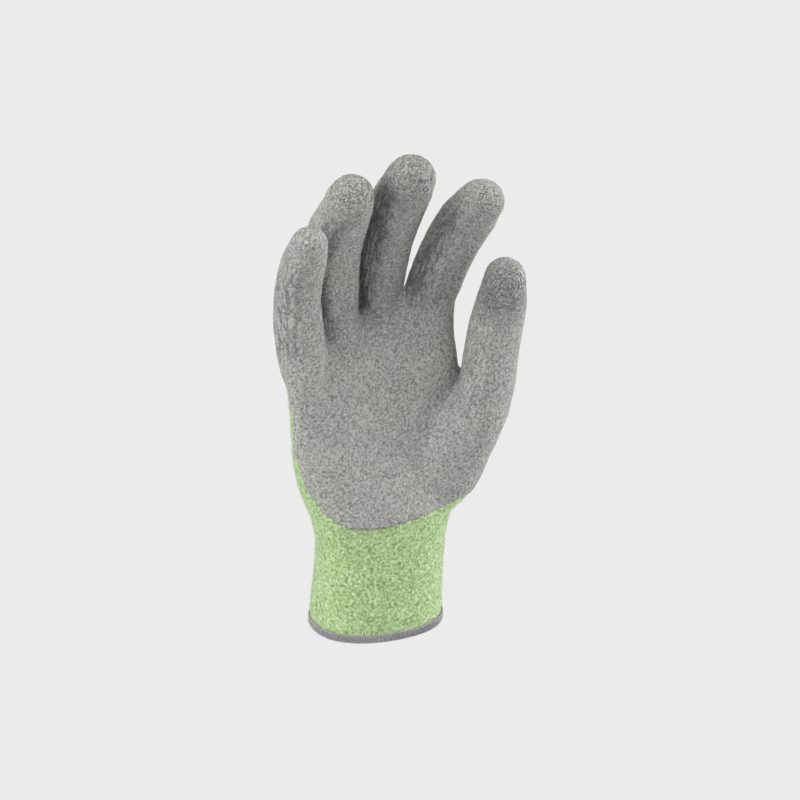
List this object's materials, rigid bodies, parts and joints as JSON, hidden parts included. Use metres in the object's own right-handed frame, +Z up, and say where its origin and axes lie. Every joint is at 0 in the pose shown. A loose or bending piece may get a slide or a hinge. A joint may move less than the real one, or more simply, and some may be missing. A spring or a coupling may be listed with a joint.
{
  "type": "latex coated grip glove",
  "caption": "Right-hand knitted work glove with a rubber-dipped palm and fingertips, bare knit back, knit cuff and overlocked hem, holding the gently curled shape of a worn glove.",
  "frame": {"origin": "middle of the wrist opening, in the plane of the hem", "axes": "+Z up the hand to the fingertips, -Y the way the palm faces, +X to the thumb side"},
  "size_m": [0.1231, 0.0705, 0.2456],
  "materials": {
    "knit": "brushed melange green knit with a fuzzy surface",
    "latex": "matt grey latex with a fine crinkle texture",
    "overlock": "grey overlock thread wrapped round the hem"
  },
  "bodies": {
    "root": {"knit_liner": "knit", "latex_coating": "latex", "hem_overlock": "overlock"}
  },
  "joints": []
}
